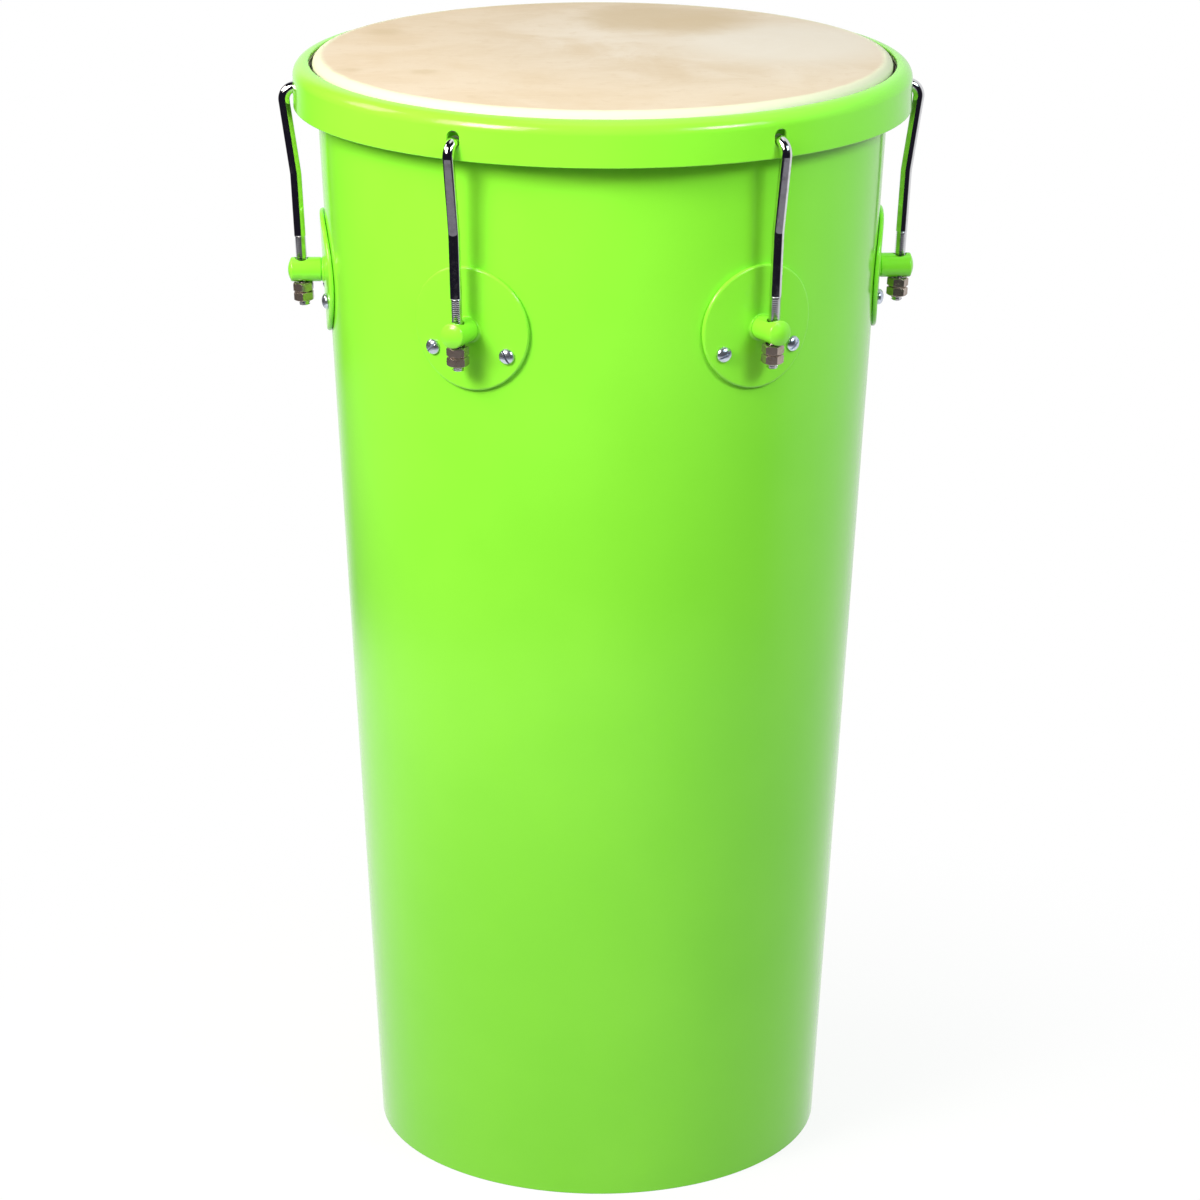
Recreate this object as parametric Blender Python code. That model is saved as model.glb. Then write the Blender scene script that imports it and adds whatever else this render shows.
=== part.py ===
"""Rebolo, a tall tapered steel drum with one lapped skin head and an open foot.

Six hooked rods pull a counterhoop down over the skin. Each rod drops from a slot in the
hoop through a post on the shell, and a tuning nut and a lock nut hold it under the post.
Each post is riveted through a round plate that is bent to the shell and screwed to it.

Units are metres and +Z is up. The origin is on the floor, at the centre of the open foot.
"""

import math

import bmesh
import bpy
from mathutils import Matrix, Quaternion, Vector

# Whole drum
DRUM_HEIGHT = 0.600
FOOT_RADIUS = 0.1215
CROWN_RADIUS = 0.15094
STATION_COUNT = 6

# Gaps between pieces that bear on each other
SEAT_GAP = 0.0003

# Shell, rolled inward at the top to make the bearing edge
SHELL_THICKNESS = 0.0012
EDGE_ROLL_RADIUS = 0.0035
EDGE_ROLL_TURN = math.radians(250)

# Skin and the wire hoop that it is lapped around
SKIN_THICKNESS = 0.0010
FLESH_WIRE_DIAMETER = 0.0050
SKIN_LAP_LOOSENESS = 0.0005
SKIN_LAP_TURN = math.radians(285)

# Counterhoop, a pressed ring with a top flange, a rounded corner and a skirt
HOOP_THICKNESS = 0.0020
HOOP_DEPTH = 0.0230
HOOP_BELOW_SKIN = 0.0030
HOOP_CORNER_RADIUS = 0.0070
HOOP_EDGE_ROUNDING = 0.0006
HOOP_GAP_TO_SKIN = 0.0020
HOOP_ROOM_AROUND_LAP = 0.0013
SLOT_HEIGHT = 0.0095
SLOT_ABOVE_HOOP_EDGE = 0.0055
SLOT_ROOM_BESIDE_HOOK = 0.0006

# Post that carries the rod
POST_BELOW_TOP = 0.1150
POST_DIAMETER = 0.0130
POST_REACH = 0.0213
POST_DOME_HEIGHT = 0.0010
POST_EDGE_ROUNDING = 0.0014
POST_FOOT_CHAMFER = 0.0005
POST_SPIGOT_DIAMETER = 0.0080
POST_RIVET_DIAMETER = 0.0110
POST_RIVET_CROWN_DIAMETER = 0.0066
POST_RIVET_HEIGHT = 0.0022
POST_RIVET_SHOULDER = 0.0007
POST_HOLE_DIAMETER = 0.0074

# Hooked rod
ROD_DIAMETER = 0.0060
ROD_STANDOFF = 0.0137
ROD_KNEE_BELOW_TOP = 0.0633
ROD_KNEE_RADIUS = 0.0300
ROD_TAIL = 0.0032
ROD_TIP_CHAMFER = 0.0008
HOOK_STANDOFF = 0.0058
HOOK_BEND_RADIUS = 0.0065
HOOK_REACH = 0.0010

# Hexagon nuts on the rod
ROD_NUT_FLATS = 0.0100
ROD_NUT_HEIGHT = 0.0050
ROD_NUT_CORNER_CUT = 0.0006
NUT_CORNER_TO_X = math.radians(30)

# Plate behind the post
PLATE_DIAMETER = 0.0650
PLATE_THICKNESS = 0.0023
PLATE_EDGE_ROUNDING = 0.0009
PLATE_BOSS_HEIGHT = 0.0015
PLATE_BOSS_FLARE = 0.0016

# Slotted screws through plate and shell, and the nuts inside
SCREW_RIM_DISTANCE = 0.0085
SCREW_BELOW_LEVEL = math.radians(30)
SCREW_DIAMETER = 0.0040
SCREW_HEAD_DIAMETER = 0.0082
SCREW_HEAD_HEIGHT = 0.0027
SCREW_HEAD_SHOULDER_DIAMETER = 0.0062
SCREW_HEAD_SHOULDER_HEIGHT = 0.0019
SCREW_SLOT_WIDTH = 0.0010
SCREW_SLOT_DEPTH = 0.0012
SCREW_TAIL = 0.0018
SCREW_NUT_FLATS = 0.0070
SCREW_NUT_HEIGHT = 0.0032
SCREW_SLOT_TURNS = (35, -62, 80, 15, -25, 118)

# Facets around each kind of round piece
FACETS_PER_STATION = 8
RING_FACETS = STATION_COUNT * FACETS_PER_STATION
PLATE_FACETS = 18
POST_FACETS = 12
SMALL_ROUND_FACETS = 8
ROD_QUARTER_FACETS = 2
WIRE_FACETS = 6

# Steps along each kind of bend, and the angle from which an edge looks sharp
ROLL_STEPS = 6
LAP_STEPS = 5
HOOP_CORNER_STEPS = 3
HOOK_STEPS = 5
SLOT_END_STEPS = 4
SHOULDER_STEPS = 3
SMALL_BEND_STEPS = 2
EDGE_STEPS = 1
SHARP_ANGLE = math.radians(35)

# Cutting bars reach this many thicknesses past the sheet that they cut
CUT_REACH = 4

# Sizes that follow from those above
POST_HEIGHT = DRUM_HEIGHT - POST_BELOW_TOP
ROD_KNEE_HEIGHT = DRUM_HEIGHT - ROD_KNEE_BELOW_TOP
WALL_SLOPE = (CROWN_RADIUS - FOOT_RADIUS) / DRUM_HEIGHT
WALL_LEAN = math.atan(WALL_SLOPE)
ROLL_HEIGHT = DRUM_HEIGHT - SKIN_THICKNESS - SEAT_GAP - EDGE_ROLL_RADIUS
FLESH_WIRE_RADIUS = FLESH_WIRE_DIAMETER / 2
LAP_INNER_RADIUS = FLESH_WIRE_RADIUS + SKIN_LAP_LOOSENESS
LAP_OUTER_RADIUS = LAP_INNER_RADIUS + SKIN_THICKNESS
HOOP_TOP = DRUM_HEIGHT - HOOP_BELOW_SKIN
HOOP_BOTTOM = HOOP_TOP - HOOP_DEPTH
FLESH_WIRE_HEIGHT = HOOP_TOP - HOOP_THICKNESS - SEAT_GAP - LAP_OUTER_RADIUS


def wall_radius(height):
    """Radius of the shell's outer face."""
    return FOOT_RADIUS + WALL_SLOPE * height


ROLL_CENTRE_RADIUS = wall_radius(ROLL_HEIGHT) - EDGE_ROLL_RADIUS / math.cos(WALL_LEAN)
COLLAR_RADIUS = ROLL_CENTRE_RADIUS + EDGE_ROLL_RADIUS + SEAT_GAP + SKIN_THICKNESS
FLESH_WIRE_RING_RADIUS = COLLAR_RADIUS + LAP_INNER_RADIUS
HOOP_INNER_RADIUS = FLESH_WIRE_RING_RADIUS + LAP_OUTER_RADIUS + HOOP_ROOM_AROUND_LAP
HOOP_OUTER_RADIUS = HOOP_INNER_RADIUS + HOOP_THICKNESS
POST_RADIUS = POST_DIAMETER / 2
ROD_RADIUS = ROD_DIAMETER / 2
ROD_RADIUS_AT_POST = wall_radius(POST_HEIGHT) + ROD_STANDOFF
PLATE_BACK = SEAT_GAP
PLATE_FRONT = PLATE_BACK + PLATE_THICKNESS
BOSS_FRONT = PLATE_FRONT + PLATE_BOSS_HEIGHT
SCREW_CIRCLE_RADIUS = PLATE_DIAMETER / 2 - SCREW_RIM_DISTANCE
SCREW_HEIGHT = POST_HEIGHT - SCREW_CIRCLE_RADIUS * math.sin(SCREW_BELOW_LEVEL)
SCREW_SPREAD = SCREW_CIRCLE_RADIUS * math.cos(SCREW_BELOW_LEVEL)
SCREW_ANGLE = SCREW_SPREAD / wall_radius(SCREW_HEIGHT)
RING_SAG = wall_radius(POST_HEIGHT) * (1 - math.cos(math.pi / RING_FACETS))
SCREW_NUT_SEAT = SHELL_THICKNESS + SEAT_GAP + RING_SAG
SLOT_WIDTH = ROD_DIAMETER + 2 * SLOT_ROOM_BESIDE_HOOK
SLOT_BOTTOM = HOOP_BOTTOM + SLOT_ABOVE_HOOP_EDGE


# Clean scene
for leftover in list(bpy.data.objects):
    bpy.data.objects.remove(leftover, do_unlink=True)


def finish(name, colour, roughness, metallic, coat=0.0):
    """Principled material of one finish."""
    material = bpy.data.materials.new(name)
    material.use_nodes = True
    shader = material.node_tree.nodes["Principled BSDF"]
    shader.inputs["Base Color"].default_value = (*colour, 1.0)
    shader.inputs["Roughness"].default_value = roughness
    shader.inputs["Metallic"].default_value = metallic
    shader.inputs["Coat Weight"].default_value = coat
    material.diffuse_color = (*colour, 1.0)
    return material


LIME_PAINT = finish("lime_paint", (0.27, 0.86, 0.04), 0.28, 0.0, coat=0.4)
HIDE = finish("natural_hide", (0.74, 0.60, 0.42), 0.55, 0.0)
WIRE_STEEL = finish("wire_steel", (0.42, 0.41, 0.40), 0.45, 1.0)
CHROME = finish("chrome", (0.72, 0.72, 0.74), 0.08, 1.0)
DARK_NICKEL = finish("dark_nickel", (0.30, 0.27, 0.25), 0.25, 1.0)
ZINC = finish("zinc", (0.62, 0.65, 0.70), 0.25, 1.0)


# Shapes

def arc(centre, radius, start, turn, steps):
    """Points along an arc, as pairs of radius and height."""
    angles = [start + turn * step / steps for step in range(steps + 1)]
    return [(centre[0] + radius * math.cos(a), centre[1] + radius * math.sin(a)) for a in angles]


def turned(profile, facets):
    """Mesh turned about Z from a profile that is a closed loop or starts and ends on the axis."""
    shape = bmesh.new()
    points = [shape.verts.new((radius, 0, height)) for radius, height in profile]
    lines = [shape.edges.new(pair) for pair in zip(points, points[1:])]
    if profile[0][0] > 0:
        lines.append(shape.edges.new((points[-1], points[0])))
    bmesh.ops.spin(shape, geom=points + lines, cent=(0, 0, 0), axis=(0, 0, 1),
                   angle=math.tau, steps=facets, use_merge=True)
    bmesh.ops.remove_doubles(shape, verts=shape.verts, dist=1e-6)
    return finished(shape)


def finished(shape):
    """Blender mesh from a bmesh, faces out, shaded smooth between its sharp edges."""
    bmesh.ops.recalc_face_normals(shape, faces=shape.faces)
    mesh = bpy.data.meshes.new("shape")
    shape.to_mesh(mesh)
    shape.free()
    mesh.shade_smooth()
    mesh.set_sharp_from_angle(angle=SHARP_ANGLE)
    return mesh


def round_bar(radius, low, high, facets=SMALL_ROUND_FACETS):
    """Bar along Z that cuts a hole; its flats, not its corners, lie at the radius."""
    corner = radius / math.cos(math.pi / facets)
    return turned([(0, high), (corner, high), (corner, low), (0, low)], facets)


def joined(pieces):
    """One mesh from pairs of a mesh and its place."""
    shape = bmesh.new()
    for mesh, place in pieces:
        moved = mesh.copy()
        moved.transform(place)
        shape.from_mesh(moved)
        bpy.data.meshes.remove(moved)
    return finished(shape)


def carved(mesh, place, cutter_mesh, cutter_place):
    """Mesh with a cutter taken out of it; both are given with their places."""
    body = bpy.data.objects.new("blank", mesh)
    body.matrix_world = place
    cutter = bpy.data.objects.new("tool", cutter_mesh)
    cutter.matrix_world = cutter_place
    bpy.context.scene.collection.objects.link(body)
    bpy.context.scene.collection.objects.link(cutter)
    cut = body.modifiers.new("cut", 'BOOLEAN')
    cut.operation = 'DIFFERENCE'
    cut.solver = 'EXACT'
    cut.object = cutter
    bpy.context.view_layer.update()
    evaluated = body.evaluated_get(bpy.context.evaluated_depsgraph_get())
    result = bpy.data.meshes.new_from_object(evaluated)
    bpy.data.objects.remove(body, do_unlink=True)
    bpy.data.objects.remove(cutter, do_unlink=True)
    result.set_sharp_from_angle(angle=SHARP_ANGLE)
    return result


def add(name, data, material, parent=None, place=Matrix.Identity(4)):
    """Object with a material, placed under its parent."""
    thing = bpy.data.objects.new(name, data)
    if not data.materials:
        data.materials.append(material)
    thing.parent = parent
    thing.matrix_local = place
    bpy.context.scene.collection.objects.link(thing)
    return thing


def add_empty(name, parent=None, place=Matrix.Identity(4)):
    """Empty that marks a frame."""
    mark = bpy.data.objects.new(name, None)
    mark.empty_display_size = 0.01
    mark.parent = parent
    mark.matrix_local = place
    bpy.context.scene.collection.objects.link(mark)
    return mark


def cut_away(body, cutter_mesh, name):
    """Live Boolean cut that leaves its cutter in the scene as a wire guide."""
    cutter = bpy.data.objects.new(name, cutter_mesh)
    cutter.display_type = 'WIRE'
    cutter.hide_render = True
    bpy.context.scene.collection.objects.link(cutter)
    cut = body.modifiers.new(name, 'BOOLEAN')
    cut.operation = 'DIFFERENCE'
    cut.solver = 'EXACT'
    cut.object = cutter


def nut_mesh(flats, height, bore_radius, corner_cut):
    """Hexagon nut along Z with a corner toward +X, standing on its lower face."""
    shape = bmesh.new()
    place = Matrix.Translation((0, 0, height / 2)) @ Matrix.Rotation(NUT_CORNER_TO_X, 4, 'Z')
    bmesh.ops.create_cone(shape, cap_ends=True, segments=6, radius1=flats / math.sqrt(3),
                          radius2=flats / math.sqrt(3), depth=height, matrix=place)
    if corner_cut > 0:
        bmesh.ops.bevel(shape, geom=list(shape.verts), offset=corner_cut, affect='VERTICES', segments=1)
    bore = round_bar(bore_radius, -height, 2 * height)
    return carved(finished(shape), Matrix.Identity(4), bore, Matrix.Identity(4))


# Frames of a station, in which +X points out from the drum's axis

POST_FRAME = (Matrix.Translation((wall_radius(POST_HEIGHT), 0, POST_HEIGHT))
              @ Matrix.Rotation(math.pi / 2, 4, 'Y'))
ROD_FRAME = (Matrix.Translation((ROD_RADIUS_AT_POST, 0, POST_HEIGHT))
             @ Matrix.Rotation(WALL_LEAN, 4, 'Y'))


def screw_frame(side):
    """Frame on the wall with Z along the screw, pointing out."""
    return (Matrix.Rotation(side * SCREW_ANGLE, 4, 'Z')
            @ Matrix.Translation((wall_radius(SCREW_HEIGHT), 0, SCREW_HEIGHT))
            @ Matrix.Rotation(math.pi / 2 + WALL_LEAN, 4, 'Y'))


def station_turn(index):
    """Turn of a station about the drum's axis."""
    return Matrix.Rotation(math.tau * index / STATION_COUNT, 4, 'Z')


# Shell: a plain cone whose top edge is rolled inward into the bearing edge

def shell_profile():
    """Outer face going up, around the roll, and the inner face coming down."""
    roll_centre = (ROLL_CENTRE_RADIUS, ROLL_HEIGHT)
    whole_turn = EDGE_ROLL_TURN + WALL_LEAN
    outside = arc(roll_centre, EDGE_ROLL_RADIUS, -WALL_LEAN, whole_turn, ROLL_STEPS)
    inner_radius = EDGE_ROLL_RADIUS - SHELL_THICKNESS
    inside = arc(roll_centre, inner_radius, EDGE_ROLL_TURN, -whole_turn, ROLL_STEPS // 2)
    foot_inside = FOOT_RADIUS - SHELL_THICKNESS / math.cos(WALL_LEAN)
    return [(FOOT_RADIUS, 0)] + outside + inside + [(foot_inside, 0)]


def shell_hole_cutters():
    """Bars for the rivet and screw holes of every station."""
    depth = CUT_REACH * SHELL_THICKNESS
    rivet = round_bar(POST_SPIGOT_DIAMETER / 2 + SEAT_GAP, -depth, depth)
    screw = round_bar(SCREW_DIAMETER / 2 + SEAT_GAP, -depth, depth)
    bars = []
    for index in range(STATION_COUNT):
        turn = station_turn(index)
        bars.append((rivet, turn @ POST_FRAME))
        bars.append((screw, turn @ screw_frame(1)))
        bars.append((screw, turn @ screw_frame(-1)))
    return joined(bars)


shell = add("shell", turned(shell_profile(), RING_FACETS), LIME_PAINT)
cut_away(shell, shell_hole_cutters(), "shell_holes")


# Skin: flat to the bearing edge, down a short collar and lapped around the wire hoop

def skin_profile():
    """Upper face from the centre out and around the wire, then back along the lower face."""
    roll_centre = (ROLL_CENTRE_RADIUS, ROLL_HEIGHT)
    wire_centre = (FLESH_WIRE_RING_RADIUS, FLESH_WIRE_HEIGHT)
    shoulder_inner = EDGE_ROLL_RADIUS + SEAT_GAP
    shoulder_outer = shoulder_inner + SKIN_THICKNESS
    quarter = math.pi / 2
    lap_end = math.pi + SKIN_LAP_TURN
    upper = [(0, DRUM_HEIGHT)] + arc(roll_centre, shoulder_outer, quarter, -quarter, SHOULDER_STEPS)
    upper += arc(wire_centre, LAP_INNER_RADIUS, math.pi, SKIN_LAP_TURN, LAP_STEPS)
    lower = arc(wire_centre, LAP_OUTER_RADIUS, lap_end, -SKIN_LAP_TURN, LAP_STEPS)
    lower += arc(roll_centre, shoulder_inner, 0, quarter, SHOULDER_STEPS)
    lower += [(0, DRUM_HEIGHT - SKIN_THICKNESS)]
    return upper + lower


add("drumhead", turned(skin_profile(), RING_FACETS), HIDE)

flesh_wire_centre = (FLESH_WIRE_RING_RADIUS, FLESH_WIRE_HEIGHT)
flesh_wire = arc(flesh_wire_centre, FLESH_WIRE_RADIUS, 0, math.tau, WIRE_FACETS)[:-1]
add("flesh_hoop", turned(flesh_wire, RING_FACETS), WIRE_STEEL)


# Counterhoop: it moves along the drum's axis

def hoop_profile():
    """Flange, rounded corner, skirt and the inner faces, as one closed loop."""
    flange_edge = COLLAR_RADIUS + HOOP_GAP_TO_SKIN
    corner = min(HOOP_CORNER_RADIUS, HOOP_OUTER_RADIUS - flange_edge - HOOP_EDGE_ROUNDING)
    corner_centre = (HOOP_OUTER_RADIUS - corner, HOOP_TOP - corner)
    bottom_centre = (HOOP_OUTER_RADIUS - HOOP_EDGE_ROUNDING, HOOP_BOTTOM + HOOP_EDGE_ROUNDING)
    quarter = math.pi / 2
    inner_corner = corner - HOOP_THICKNESS
    outside = [(flange_edge, HOOP_TOP)]
    outside += arc(corner_centre, corner, quarter, -quarter, HOOP_CORNER_STEPS)
    outside += arc(bottom_centre, HOOP_EDGE_ROUNDING, 0, -quarter, EDGE_STEPS)
    inside = [(HOOP_INNER_RADIUS, HOOP_BOTTOM)]
    inside += arc(corner_centre, inner_corner, 0, quarter, SMALL_BEND_STEPS)
    inside += [(flange_edge, HOOP_TOP - HOOP_THICKNESS)]
    return outside + inside


def slot_cutters():
    """Upright bars with round ends, one for each hook's slot."""
    shape = bmesh.new()
    half_straight = (SLOT_HEIGHT - SLOT_WIDTH) / 2
    for end in (1, -1):
        for step in range(SLOT_END_STEPS + 1):
            angle = math.pi * step / SLOT_END_STEPS
            side = end * SLOT_WIDTH / 2 * math.cos(angle)
            rise = end * (SLOT_WIDTH / 2 * math.sin(angle) + half_straight)
            shape.verts.new((0, side, rise))
    face = shape.faces.new(shape.verts)
    depth = CUT_REACH * HOOP_THICKNESS
    ring = bmesh.ops.extrude_face_region(shape, geom=[face])["geom"]
    bmesh.ops.translate(shape, verts=[v for v in ring if isinstance(v, bmesh.types.BMVert)],
                        vec=(depth, 0, 0))
    bar = finished(shape)
    middle = Vector((HOOP_OUTER_RADIUS - depth / 2, 0, SLOT_BOTTOM + SLOT_HEIGHT / 2))
    return joined([(bar, station_turn(index) @ Matrix.Translation(middle))
                   for index in range(STATION_COUNT)])


counterhoop = add("counterhoop", turned(hoop_profile(), RING_FACETS), LIME_PAINT)
cut_away(counterhoop, slot_cutters(), "hoop_slots")


# Post: a turned stud with a domed end, a cross hole for the rod and a riveted spigot

def post_profile():
    """From the domed outer end in to the riveted head, along the post's own axis."""
    rounding = POST_EDGE_ROUNDING
    edge_centre = (POST_RADIUS - rounding, POST_REACH - POST_DOME_HEIGHT - rounding)
    foot = BOSS_FRONT + SEAT_GAP
    spigot = POST_SPIGOT_DIAMETER / 2
    rivet = POST_RIVET_DIAMETER / 2
    rivet_face = -(SHELL_THICKNESS + SEAT_GAP + RING_SAG + rivet * WALL_SLOPE)
    rivet_end = rivet_face - POST_RIVET_HEIGHT
    dome = [(0, POST_REACH), (POST_RADIUS / 2, POST_REACH - POST_DOME_HEIGHT / 4)]
    body = arc(edge_centre, rounding, math.pi / 2, -math.pi / 2, SMALL_BEND_STEPS)
    body += [(POST_RADIUS, foot + POST_FOOT_CHAMFER), (POST_RADIUS - POST_FOOT_CHAMFER, foot)]
    spool = [(spigot, foot), (spigot, rivet_face), (rivet, rivet_face),
             (rivet, rivet_face - POST_RIVET_SHOULDER),
             (POST_RIVET_CROWN_DIAMETER / 2, rivet_end), (0, rivet_end)]
    return dome + body + spool


def post_mesh():
    """Post with the hole that the rod drops through."""
    solid = turned(post_profile(), POST_FACETS)
    drill = round_bar(POST_HOLE_DIAMETER / 2, -POST_DIAMETER, POST_DIAMETER)
    return carved(solid, POST_FRAME, drill, ROD_FRAME)


# Plate: a pressed disc with a raised seat for the post, bent around the shell

def plate_profile():
    """Section of the disc from the rivet hole out and back, before it is bent."""
    hole = POST_SPIGOT_DIAMETER / 2 + SEAT_GAP
    rim = PLATE_DIAMETER / 2
    flare = PLATE_BOSS_FLARE
    flare_centre = (POST_RADIUS + flare, BOSS_FRONT)
    quarter = math.pi / 2
    sweep = arc((0, 0), 1, math.pi, quarter, SMALL_BEND_STEPS)
    front = [(hole, BOSS_FRONT)]
    front += [(flare_centre[0] + flare * x, flare_centre[1] + PLATE_BOSS_HEIGHT * z) for x, z in sweep]
    middle = (flare_centre[0] + rim) / 2
    edge_centre = (rim - PLATE_EDGE_ROUNDING, PLATE_FRONT - PLATE_EDGE_ROUNDING)
    front += [(middle, PLATE_FRONT)]
    front += arc(edge_centre, PLATE_EDGE_ROUNDING, quarter, -quarter, EDGE_STEPS)
    back = [(rim, PLATE_BACK), (middle, PLATE_BACK), (flare_centre[0], PLATE_BACK)]
    back += [(POST_RADIUS, PLATE_BACK + PLATE_BOSS_HEIGHT), (hole, PLATE_BACK + PLATE_BOSS_HEIGHT)]
    return front + back


def bend_to_wall(point):
    """Carry a point of the flat disc onto the shell, leaving the post's seat flat."""
    seat_edge = POST_RADIUS
    bent_from = POST_RADIUS + PLATE_BOSS_FLARE
    distance = math.hypot(point.x, point.y)
    bend = min(1, max(0, (distance - seat_edge) / (bent_from - seat_edge)))
    height = POST_HEIGHT - point.x
    flat = Vector((wall_radius(POST_HEIGHT) + point.z, point.y, height))
    radius = wall_radius(height) + point.z
    angle = point.y / wall_radius(POST_HEIGHT)
    curved = Vector((radius * math.cos(angle), radius * math.sin(angle), height))
    return flat.lerp(curved, bend)


def plate_mesh():
    """Bent plate with its two screw holes, in the station's frame."""
    disc = turned(plate_profile(), PLATE_FACETS)
    for vertex in disc.vertices:
        vertex.co = bend_to_wall(vertex.co)
    depth = 2 * PLATE_FRONT
    drill = round_bar(SCREW_DIAMETER / 2 + SEAT_GAP, -depth, depth)
    drills = joined([(drill, screw_frame(side)) for side in (1, -1)])
    return carved(disc, Matrix.Identity(4), drills, Matrix.Identity(4))


# Hooked rod: straight through the post, out at a knee and over into the hoop's slot

def fillet(before, corner, after, radius, steps):
    """Points of the arc that rounds a corner of a route."""
    back = (before - corner).normalized()
    ahead = (after - corner).normalized()
    half = back.angle(ahead) / 2
    centre = corner + (back + ahead).normalized() * radius / math.sin(half)
    first = corner + back * radius / math.tan(half) - centre
    last = corner + ahead * radius / math.tan(half) - centre
    turn = first.rotation_difference(last)
    return [centre + Quaternion().slerp(turn, step / steps) @ first for step in range(steps + 1)]


def hook_height(bend_centre_radius):
    """Height of the hook's straight end, which bears on the lower end of the slot."""
    inner_bend = HOOK_BEND_RADIUS - ROD_RADIUS
    inside_hoop = min(inner_bend, max(0, HOOP_OUTER_RADIUS - bend_centre_radius))
    dip = inner_bend - math.sqrt(inner_bend ** 2 - inside_hoop ** 2)
    return SLOT_BOTTOM + SEAT_GAP + ROD_RADIUS + dip


def rod_route():
    """Centreline of the rod in the station's frame, from its lower tip to the hook's end."""
    tip_depth = POST_RADIUS + 2 * (ROD_NUT_HEIGHT + SEAT_GAP) + ROD_TAIL
    tip = ROD_FRAME @ Vector((0, 0, -tip_depth))
    knee = ROD_FRAME @ Vector((0, 0, (ROD_KNEE_HEIGHT - POST_HEIGHT) / math.cos(WALL_LEAN)))
    corner_radius = HOOP_OUTER_RADIUS + HOOK_STANDOFF
    level = hook_height(corner_radius - HOOK_BEND_RADIUS)
    corner = Vector((corner_radius, 0, level))
    lean = math.atan2(corner.x - knee.x, corner.z - knee.z)
    bend_centre_radius = corner_radius - HOOK_BEND_RADIUS * math.tan(math.pi / 4 + lean / 2)
    corner.z = hook_height(bend_centre_radius)
    hook_end = Vector((HOOP_INNER_RADIUS - HOOK_REACH, 0, corner.z))
    above_tip = tip.lerp(knee, ROD_TIP_CHAMFER / (knee - tip).length)
    route = [tip, above_tip]
    route += fillet(tip, knee, corner, ROD_KNEE_RADIUS, SMALL_BEND_STEPS)
    route += fillet(knee, corner, hook_end, HOOK_BEND_RADIUS, HOOK_STEPS)
    return route + [hook_end]


def rod_curve():
    """Round bar along the route, with a chamfered lower tip."""
    curve = bpy.data.curves.new("rod", 'CURVE')
    curve.dimensions = '3D'
    curve.bevel_depth = ROD_RADIUS
    curve.bevel_resolution = ROD_QUARTER_FACETS
    curve.use_fill_caps = True
    route = [ROD_FRAME.inverted() @ point for point in rod_route()]
    spline = curve.splines.new('POLY')
    spline.points.add(len(route) - 1)
    for spot, point in zip(spline.points, route):
        spot.co = (*point, 1)
    spline.points[0].radius = 1 - ROD_TIP_CHAMFER / ROD_RADIUS
    return curve


# Slotted round-head screw, along Z with the underside of its head at zero

def screw_mesh():
    """Screw long enough for plate, shell, nut and a short tail."""
    head = SCREW_HEAD_DIAMETER / 2
    shank = SCREW_DIAMETER / 2
    length = PLATE_FRONT + SEAT_GAP + SCREW_NUT_SEAT + SCREW_NUT_HEIGHT + SCREW_TAIL
    shoulder = (SCREW_HEAD_SHOULDER_DIAMETER / 2, SCREW_HEAD_SHOULDER_HEIGHT)
    profile = [(0, SCREW_HEAD_HEIGHT), shoulder, (head, 0), (shank, 0), (shank, -length), (0, -length)]
    solid = turned(profile, SMALL_ROUND_FACETS)
    slot = bmesh.new()
    size = Matrix.Diagonal((2 * SCREW_HEAD_DIAMETER, SCREW_SLOT_WIDTH, SCREW_HEAD_HEIGHT, 1))
    rise = SCREW_HEAD_HEIGHT + SCREW_HEAD_HEIGHT / 2 - SCREW_SLOT_DEPTH
    bmesh.ops.create_cube(slot, size=1, matrix=Matrix.Translation((0, 0, rise)) @ size)
    return carved(solid, Matrix.Identity(4), finished(slot), Matrix.Identity(4))


# Six stations, each piece a copy that shares its mesh

POST_SHAPE = post_mesh()
PLATE_SHAPE = plate_mesh()
ROD_SHAPE = rod_curve()
ROD_NUT_SHAPE = nut_mesh(ROD_NUT_FLATS, ROD_NUT_HEIGHT, ROD_RADIUS + SEAT_GAP, ROD_NUT_CORNER_CUT)
SCREW_SHAPE = screw_mesh()
SCREW_NUT_SHAPE = nut_mesh(SCREW_NUT_FLATS, SCREW_NUT_HEIGHT, SCREW_DIAMETER / 2 + SEAT_GAP, 0)

tuning_nut_place = Matrix.Translation((0, 0, -(POST_RADIUS + SEAT_GAP + ROD_NUT_HEIGHT)))
lock_nut_place = Matrix.Translation((0, 0, -(POST_RADIUS + 2 * (SEAT_GAP + ROD_NUT_HEIGHT))))
screw_place = Matrix.Translation((0, 0, PLATE_FRONT + SEAT_GAP))
screw_nut_place = Matrix.Translation((0, 0, -(SCREW_NUT_SEAT + SCREW_NUT_HEIGHT)))

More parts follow.
